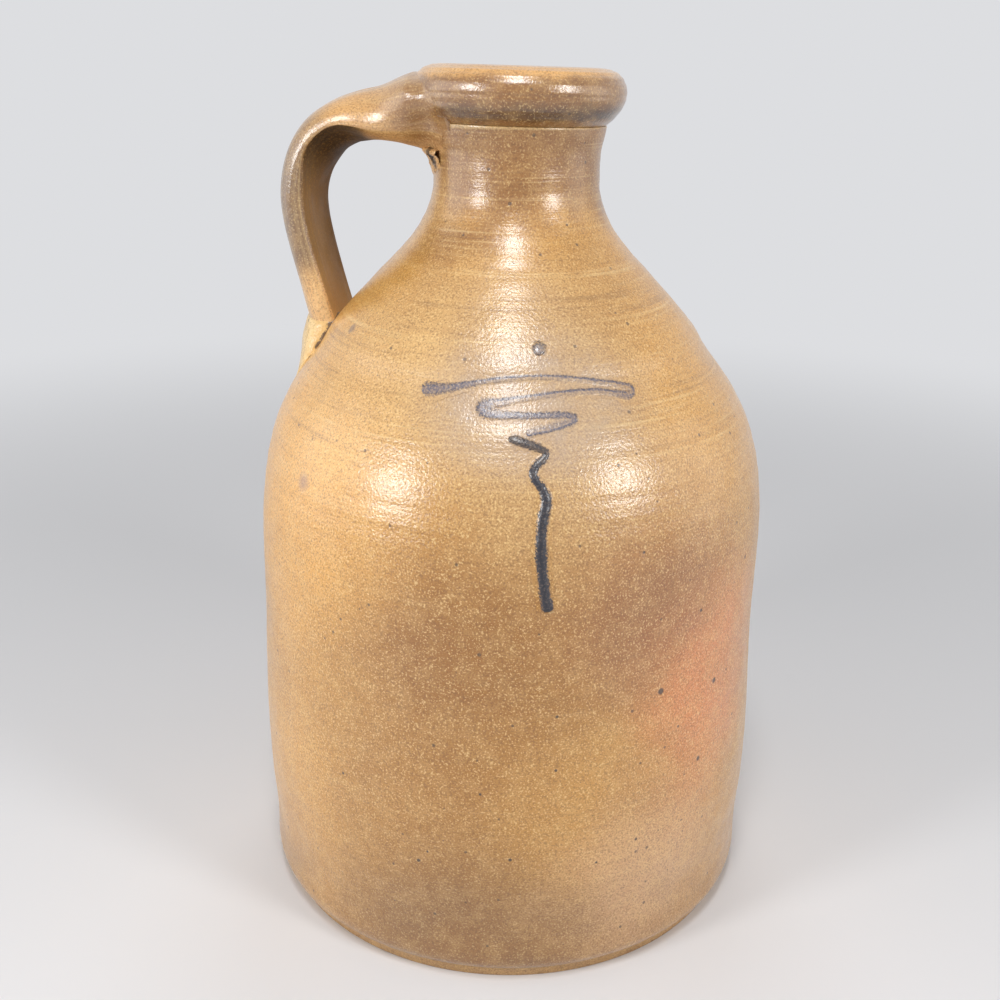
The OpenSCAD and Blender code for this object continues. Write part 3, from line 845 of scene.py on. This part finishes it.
# %% Strap
strap_points = [point for ring in root_rings for point in ring]
strap_trail = [(k / STRAP_SIDES, (n - ROOT_STEPS) / 12) for n in range(ROOT_STEPS + 1)
               for k in range(STRAP_SIDES)]
for i in range(len(strap_rows)):
    strap_points += strap_ring(i)
    strap_trail += [(k / STRAP_SIDES, i / STRAP_STEPS) for k in range(STRAP_SIDES)]
strap_faces = join_rings(ROOT_STEPS + 1 + len(strap_rows), STRAP_SIDES)
# The faces that look at the jug get the copy of the strap's finish with painted shade.
strap_face_finish = []
for n in range(ROOT_STEPS + len(strap_rows)):
    fold = 0.53 + 0.075 * ramp(n - ROOT_STEPS, 16, 44)
    strap_face_finish += [1 if fold < k / STRAP_SIDES < 1.5 - fold else 0 for k in range(STRAP_SIDES)]
make_piece("pulled_strap", strap_points, strap_faces, "strap_handle",
           [strap_finish, strap_inside_shaded_finish], strap_face_finish, trail=strap_trail)

# %% [markdown]
# ## Joining clay
# A strap is luted on: a coil of soft clay is pressed into the angle under the upper root, where a
# scrap of it tore and dried, and a wad is wiped down over the lower end. Both are ribs laid across
# the joint with a ragged edge from noise; the dark slots in the torn scrap are painted shade. The
# wad keeps a crack along the side that the camera sees, where it shrank away from the wall, and
# the shade in that crack is painted as a dark line.

# %% Finish of the torn scrap
torn = salt_glaze("torn_root_clay", clay(214, 168, 112), grain=1.3, coat=0.3, rough=(0.4, 0.6))
# The dark pits are painted shade in the torn slots, and are also sunk a little in the bump.
for turn, z, reach in ((-63, 253.0, 2.6), (-61.5, 250.8, 2.4), (-60.5, 248.6, 1.6)):
    shaded_pit = spot(torn.tree, torn.place, wall_spot(turn, z, 1.2), reach, reach * 0.4)
    torn.tint(shaded_pit, clay(34, 20, 12), 0.9)
    torn.lift(shaded_pit, -0.8)
torn_finish = torn.fire()

# %% Finish of the wiped wad
pad = salt_glaze("wiped_joint_clay", clay(236, 204, 146), grain=0.9, coat=0.35, rough=(0.36, 0.5))
pad.read_trail()
wiped = mottle(pad.tree, stretch(pad.tree, pad.way, (14.0, 0.6, 1.0)), 1.0, 3.0, 0.6)
pad.lift(wiped, 0.5)
pad.tint(spread(pad.tree, wiped, 0.5, 0.32, 0.0, 0.35), SHADE["gold"])
off_middle = sums(pad.tree, "ABSOLUTE", sums(pad.tree, "SUBTRACT", pad.across, 0.5), 0.0)
toward_edge = sums(pad.tree, "MAXIMUM", spread(pad.tree, off_middle, 0.28, 0.48),
                   spread(pad.tree, pad.along, 5.5, 8.5))
pad.tint(toward_edge, clay(228, 184, 112), 0.8)
ragged = spread(pad.tree, mottle(pad.tree, pad.place, 2.0, 3.0, 0.7), 0.3, 0.7, -0.01, 0.022)
# The crack's dark line is painted shade in the gap where the wad shrank from the wall.
crack_shade_wide = spread(pad.tree, pad.along, 0.8, 3.0, -0.012, 0.0)
crack_shade_line = sums(pad.tree, "ADD", sums(pad.tree, "ADD", pad.across, ragged), crack_shade_wide)
pad.tint(spread(pad.tree, crack_shade_line, 0.03, 0.012), clay(76, 52, 34), 0.9)
pad_finish = pad.fire()

# %% Torn clay under the root
TORN_RIBS = 61
TORN_HALF_TURN = 37
TORN_TALL = 6.6
TORN_THICK = 0.54
TORN_Z = 252.6
TORN_TOP = 258.5
# Shares of the thickness and of the height, from below the scrap, over it and back under the root.
TORN_LINE = [(0.0, -1.15), (0.16, -0.92), (0.3, -0.68), (0.46, -0.42), (0.66, -0.2), (0.92, -0.04),
             (1.0, 0.14), (0.6, 0.3), (0.1, 0.34), (-0.12, 0.1)]
torn_line = smooth_rows(TORN_LINE, 3)
torn_points = []
for i in range(TORN_RIBS):
    f = 2 * i / (TORN_RIBS - 1) - 1
    turn = math.radians(-90 + TORN_HALF_TURN * f)
    size = TORN_TALL * (1 - 0.5 * f * f) * (1 + 0.3 * noise.noise(Vector((f * 5, 3.3, 0))))
    for out, up in torn_line:
        tear = 0.55 * noise.noise(Vector((f * 14, out * 4, up * 4)))
        z = TORN_Z + (up + 0.04 * out) * size
        lift = max(out * size * TORN_THICK + tear * min(out * 3, 1), -1.0)
        torn_points.append(on_wall(turn, min(z, TORN_TOP), lift))
torn_faces = join_rings(TORN_RIBS, len(torn_line), closed=False)
make_piece("torn_root_clay", torn_points, torn_faces, "upper_joint_clay", [torn_finish])

# %% Wiped clay on the shoulder
# Height, share of the width, and distance of the outer face from the jug's axis.
PAD = [(200.4, 0.66, 70.6), (198.6, 0.82, 71.8), (195.6, 0.94, 72.8), (191.6, 1.0, 74.0),
       (187.4, 1.02, 74.6), (183.2, 0.99, 75.0), (179.2, 0.92, 75.6), (175.6, 0.82, 76.6),
       (172.6, 0.66, 77.9), (170.4, 0.46, 79.2)]
PAD_WIDE = 30.5
PAD_BEND_R = 66
PAD_SIDES = 49
PAD_STEPS = 6
pad_rows = smooth_rows(PAD, PAD_STEPS)
pad_points = []
pad_trail = []
for i, (z, width, outer) in enumerate(pad_rows):
    height = max(outer - curve_value(outside, z), 0.1)
    for k in range(PAD_SIDES):
        a = math.pi * (1 - k / (PAD_SIDES - 1))
        edge = 1 + 0.09 * noise.noise(Vector((i * 0.12, 0 if k < PAD_SIDES / 2 else 9, 1.1)))
        across = math.cos(a) * width * PAD_WIDE / 2 * edge
        crown = math.sin(a) ** 0.72 if 0 < k < PAD_SIDES - 1 else 0
        lump = 0.35 * noise.noise(Vector((across / 5, z / 6, 2.7)))
        lift = (height + lump) * crown - 0.25
        turn = -math.pi / 2 - math.asin(max(min(across / PAD_BEND_R, 0.9), -0.9))
        droop = 1.2 * noise.noise(Vector((across / 6, 8.1, 0))) * (i / len(pad_rows)) ** 2
        pad_points.append(on_wall(turn, z + droop, lift))
        pad_trail.append((k / (PAD_SIDES - 1), i / PAD_STEPS))
make_piece("wiped_joint_clay", pad_points, join_rings(len(pad_rows), PAD_SIDES, closed=False),
           "lower_joint_clay", [pad_finish], trail=pad_trail)

# %% [markdown]
# ## Trailed slip
# The blue is clay slip squeezed from a trailer, so it stands up from the wall: one fat drop, thin
# strokes that sank over the throwing lines, and a thick tail that ran into a bead. Each trail is a
# low dome swept along the wall with a thin skirt on both sides, where the blue frays out into the
# wall's own glaze. A texture painted on the wall would have no edge to catch the light.

# %% Finish of the slip
def slip_finish(name, middle, edge, coat, strength, grainy=1.0):
    """Blue slip over the wall's own glaze; strength(tree, along, offset) says how much of it shows."""
    finish = glaze_wall(name, coat)
    finish.read_trail()
    tree, offset, along = finish.tree, finish.across, finish.along
    ragged = spread(tree, mottle(tree, finish.place, 0.7, 3.0, 0.65), 0.28, 0.72, -0.3, 0.3)
    off_middle = sums(tree, "ADD", sums(tree, "ABSOLUTE", offset, 0.0), ragged)
    grit = mottle(tree, finish.place, 0.62, 2.0, 0.65)
    blue = blend(tree, spread(tree, off_middle, 0.2, 0.8), middle, edge)
    blue = blend(tree, spread(tree, grit, 0.5, 0.7, 0.0, 0.55 * grainy), blue, clay(146, 142, 148))
    broken = sums(tree, "ADD", strength(tree, along, offset),
                  spread(tree, grit, 0.35, 0.65, 0.12, -0.3 * grainy))
    finish.tint(spread(tree, off_middle, 0.7, 1.25, 1.0, 0.0), blue, broken)
    finish.height = times(tree, finish.height, 0.8)
    return finish.fire()


def thin_strength(tree, along, offset):
    """Full in the blobs; elsewhere a worn stroke with one dark line along its upper edge."""
    upper = sums(tree, "ADD", spread(tree, along, 12.2, 13.8, -1.0, 1.0),
                 spread(tree, along, 22.6, 24.4, 0.0, -2.0))
    off_line = sums(tree, "ABSOLUTE", sums(tree, "SUBTRACT", times(tree, offset, upper), 0.5), 0.0)
    line = spread(tree, off_line, 0.15, 0.65, 0.9, 0.0)
    body = spread(tree, along, 3.0, 5.5, 0.85, 0.36)
    loop = ((10.0, 12.0, 0.32), (13.5, 15.0, -0.32))
    second_stroke = ((18.5, 22.0, 0.5), (28.0, 29.5, -0.3))
    for low, high, gain in loop + second_stroke:
        body = sums(tree, "ADD", body, spread(tree, along, low, high, 0.0, gain))
    return sums(tree, "MAXIMUM", body, line)


def thick_strength(tree, along, offset):
    """The tail starts a little worn and is solid from its first bend on."""
    return spread(tree, along, 4.0, 9.0, 0.86, 1.0)


def drop_strength(tree, along, offset):
    """The drop is full to its edge."""
    return spread(tree, offset, 0.0, 1.2, 0.75, 0.9)


thin_slip = slip_finish("thin_blue_slip", clay(88, 88, 106), clay(60, 58, 72), 0.5, thin_strength)
thick_slip = slip_finish("thick_blue_slip", clay(20, 20, 32), clay(22, 20, 34), 0.45, thick_strength,
                         0.25)
# Over its own blue-grey, the drop's lighter middle is a painted highlight on its top, and its darker
# rim is painted shade.
drop_slip = slip_finish("blue_drop_slip", clay(108, 106, 116), clay(44, 42, 54), 1.0, drop_strength)

# %% Trails of slip
FLOURISH_TURN = math.radians(16.4)
FLOURISH_Z = 203.0
FLOURISH_W = 61.0
FLOURISH_H = 70.0
SKIN = 0.035
HALF_SECTION = [(0.32, 0.9), (0.6, 0.68), (0.82, 0.42), (1.0, 0.12), (1.2, 0.03), (1.5, 0.0),
                (1.9, 0.0)]
SECTION = [(-offset, rise) for offset, rise in reversed(HALF_SECTION)]
SECTION += [(0.0, 1.0)] + HALF_SECTION


def trail_point(across, z, lift):
    """A point on the wall, or lifted off it, at a distance across from the flourish's middle."""
    return on_wall(FLOURISH_TURN + across / curve_value(outside, z), z, lift)


def trail_of(table, width, height, steps=8, cap=0.03):
    """Points and trail coordinates of a dome swept along rows of (across, down, width) shares."""
    line = smooth_rows(table, steps)
    points = []
    trail = []
    for i, (across, down, share) in enumerate(line):
        before, after = line[max(i - 1, 0)], line[min(i + 1, len(line) - 1)]
        along_x = (after[0] - before[0]) * FLOURISH_W
        along_z = -(after[1] - before[1]) * FLOURISH_H
        length = math.hypot(along_x, along_z)
        side_x, side_z = along_z / length, -along_x / length
        near_end = min(i, len(line) - 1 - i) / steps
        end = math.sqrt(max(1 - (1 - min(near_end / 0.45, 1)) ** 2, cap))
        wobble = 1 + 0.1 * noise.noise(Vector((i * 0.35, width, 5.5)))
        half = share * width / 2 * end * wobble
        top = height * min(share, 1.1) * end
        for offset, rise in SECTION:
            x = across * FLOURISH_W + side_x * half * offset
            z = FLOURISH_Z - down * FLOURISH_H + side_z * half * offset
            points.append(trail_point(x, z, SKIN + top * rise))
            trail.append((offset, i / steps))
    return points, join_rings(len(line), len(SECTION), closed=False), trail


ZIGZAG = [
    (-0.575, 0.183, 1.1), (-0.54, 0.178, 1.7), (-0.5, 0.172, 1.6), (-0.44, 0.166, 1.2),
    (-0.3, 0.141, 0.9), (-0.18, 0.126, 0.9), (-0.04, 0.116, 0.8), (0.1, 0.119, 0.9),
    (0.25, 0.135, 0.9), (0.36, 0.151, 0.9), (0.44, 0.166, 1.0), (0.485, 0.179, 1.1),
    (0.49, 0.194, 1.25), (0.465, 0.201, 1.2), (0.41, 0.192, 1.0), (0.3, 0.176, 0.9),
    (0.19, 0.173, 0.9), (0.1, 0.176, 0.9), (0, 0.184, 0.9), (-0.1, 0.194, 1.0),
    (-0.17, 0.204, 1.2), (-0.24, 0.213, 1.5), (-0.275, 0.225, 1.6), (-0.26, 0.24, 1.6),
    (-0.2, 0.248, 1.2), (-0.06, 0.25, 0.9), (0.06, 0.25, 0.9), (0.14, 0.253, 0.9),
    (0.17, 0.264, 1.1), (0.14, 0.276, 1.2), (0.1, 0.286, 1.1), (0.04, 0.296, 1.1),
    (-0.02, 0.304, 1.1), (-0.07, 0.311, 1.0),
]
TAIL = [
    (-0.155, 0.329, 0.4), (-0.125, 0.334, 0.68), (-0.09, 0.341, 0.75), (-0.045, 0.353, 0.72),
    (0.0, 0.368, 0.62), (0.02, 0.383, 0.6), (0.003, 0.402, 0.65), (-0.03, 0.424, 0.72),
    (-0.045, 0.45, 0.75), (-0.035, 0.479, 0.75), (-0.005, 0.509, 0.8), (0.01, 0.547, 0.95),
    (0.005, 0.586, 1), (-0.007, 0.624, 1), (-0.016, 0.704, 1), (-0.015, 0.787, 1),
    (-0.006, 0.87, 0.98), (0.01, 0.956, 1.0), (0.026, 1.01, 1.15),
]
points, faces, trail = trail_of(ZIGZAG, 2.0, 0.17)
make_piece("slip_strokes", points, faces, "slip_zigzag", [thin_slip], trail=trail)
points, faces, trail = trail_of(TAIL, 3.3, 0.9)
make_piece("slip_tail_trail", points, faces, "slip_tail", [thick_slip],
           trail=trail)

# %% Drop of slip
DROP_RINGS = 16
DROP_SIDES = 40
DROP_ACROSS = 0.9
DROP_Z = FLOURISH_Z - 1.0
drop_points = [trail_point(DROP_ACROSS, DROP_Z, SKIN + 1.0)]
drop_trail = [(0.0, 0.5)]
for i in range(1, DROP_RINGS + 1):
    away = i / DROP_RINGS * 1.7
    rise = math.sqrt(max(1 - away ** 2.4, 0)) if away < 1 else 0
    for j in range(DROP_SIDES):
        a = 2 * math.pi * j / DROP_SIDES
        lobe = 1 + 0.1 * math.cos(a - 0.6) - 0.07 * math.cos(2 * a + 0.4)
        x = DROP_ACROSS + 2.15 * away * lobe * math.cos(a)
        z = DROP_Z + 1.6 * away * lobe * math.sin(a)
        drop_points.append(trail_point(x, z, SKIN + rise))
        drop_trail.append((away, j / DROP_SIDES))
drop_faces = [(0, 1 + (j + 1) % DROP_SIDES, 1 + j) for j in range(DROP_SIDES)]
drop_faces += join_rings(DROP_RINGS, DROP_SIDES, start=1)
make_piece("slip_drop", drop_points, drop_faces, "slip_dot", [drop_slip],
           trail=drop_trail)

# %% [markdown]
# ## Floor and light
# The jug stands on a plain pale floor in soft studio light. The photograph was lit from both sides
# and from above the front, which draws the bright limbs, the two streaks on the neck and the long
# one on the shoulder, so area lamps stand there, and one more keeps the back from going flat. The
# world only lifts the shadows; what the camera and the glaze see of it is pale.

# %% Floor
FLOOR_R = 3.0
FLOOR_SIDES = 64
PALE = clay(244, 245, 248)
PALE_LEVEL = 0.8
FADE_FROM = 0.22
FADE_TO = 0.95


def seen_by_eye_or_glaze(tree):
    """1 for camera, glossy and transmission rays, and 0 for the rest."""
    rays = add_node(tree, "LightPath", {})
    seen = sums(tree, "MAXIMUM", rays.outputs["Is Camera Ray"], rays.outputs["Is Glossy Ray"])
    return sums(tree, "MAXIMUM", seen, rays.outputs["Is Transmission Ray"])


floor_mesh = bpy.data.meshes.new("pale_floor")
floor_corners = []
for k in range(FLOOR_SIDES):
    turn = 2 * math.pi * k / FLOOR_SIDES
    floor_corners.append((FLOOR_R * math.cos(turn), FLOOR_R * math.sin(turn), 0))
floor_mesh.from_pydata(floor_corners, [], [tuple(range(FLOOR_SIDES))])
floor_finish = bpy.data.materials.new("pale_floor")
floor_finish.use_nodes = True
floor_tree = floor_finish.node_tree
floor_shader = floor_tree.nodes["Principled BSDF"]
floor_shader.inputs["Base Color"].default_value = clay(226, 226, 228)
floor_shader.inputs["Roughness"].default_value = 0.6
floor_place = add_node(floor_tree, "TexCoord", {}).outputs["Object"]
floor_away = add_node(floor_tree, "VectorMath", {0: floor_place}, operation="LENGTH")
floor_far = spread(floor_tree, floor_away.outputs["Value"], FADE_FROM, FADE_TO)
floor_far = times(floor_tree, floor_far, seen_by_eye_or_glaze(floor_tree))
floor_glow = add_node(floor_tree, "Emission", {"Color": PALE, "Strength": PALE_LEVEL}).outputs[0]
floor_mix = add_node(floor_tree, "MixShader", {0: floor_far, 1: floor_shader.outputs[0], 2: floor_glow})
floor_tree.links.new(floor_mix.outputs[0], floor_tree.nodes["Material Output"].inputs["Surface"])
floor_mesh.materials.append(floor_finish)
floor = bpy.data.objects.new("pale_floor", floor_mesh)
bpy.context.scene.collection.objects.link(floor)
floor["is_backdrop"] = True
print("floor", 2 * FLOOR_R, "m across")


# %% Lamps
LAMP_AIM = Vector((0, 0, 0.15))


def softbox(name, off_view, away, up, wide, tall, watts):
    """A soft area lamp, placed by its angle from the camera's side, aimed at the jug's middle."""
    data = bpy.data.lights.new(name, "AREA")
    data.shape = "ELLIPSE"
    data.size = wide
    data.size_y = tall
    data.energy = watts
    lamp = bpy.data.objects.new(name, data)
    angle = VIEW_TURN + math.radians(off_view)
    lamp.location = (away * math.sin(angle), -away * math.cos(angle), up)
    aim = LAMP_AIM - lamp.location
    lamp.rotation_euler = aim.to_track_quat("-Z", "Y").to_euler()
    lamp.visible_camera = False
    bpy.context.scene.collection.objects.link(lamp)
    return lamp


softbox("left_front_softbox", -52, 0.80, 0.37, 0.20, 0.31, 2.95)
softbox("right_front_softbox", 50, 0.80, 0.46, 0.22, 0.29, 2.9)
softbox("top_softbox", -4, 0.44, 0.96, 0.17, 0.44, 4.0)
softbox("left_side_softbox", -88, 0.80, 0.26, 0.60, 0.80, 1.45)
softbox("right_side_softbox", 88, 0.80, 0.26, 0.50, 0.80, 0.9)
back_lamp = softbox("back_softbox", 176, 0.60, 0.95, 0.50, 0.40, 1.8)
back_lamp.visible_glossy = False
print(len(bpy.data.lights), "softboxes")

# %% World
ROOM_LIGHT = 0.12
world = bpy.data.worlds.new("pale_room")
bpy.context.scene.world = world
world.use_nodes = True
level_inputs = {0: seen_by_eye_or_glaze(world.node_tree), 1: 0.0, 2: 1.0, 3: ROOM_LIGHT, 4: PALE_LEVEL}
level = add_node(world.node_tree, "MapRange", level_inputs)
world_shade = world.node_tree.nodes["Background"]
world_shade.inputs["Color"].default_value = PALE
world.node_tree.links.new(level.outputs[0], world_shade.inputs["Strength"])
print("the room lights the shadows at", ROOM_LIGHT)

# %% [markdown]
# ## Sizes
# The dressed jug must fill the same box as the solids, so the sizes of both boxes are printed one
# under the other.

# %% Print the sizes
dressed_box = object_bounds()
sizes = {"solids": [list(corner) for corner in solid_box],
         "dressed": [list(corner) for corner in dressed_box]}
for name, (low, high) in sizes.items():
    print(name, [round(1000 * (b - a), 1) for a, b in zip(low, high)], "mm")
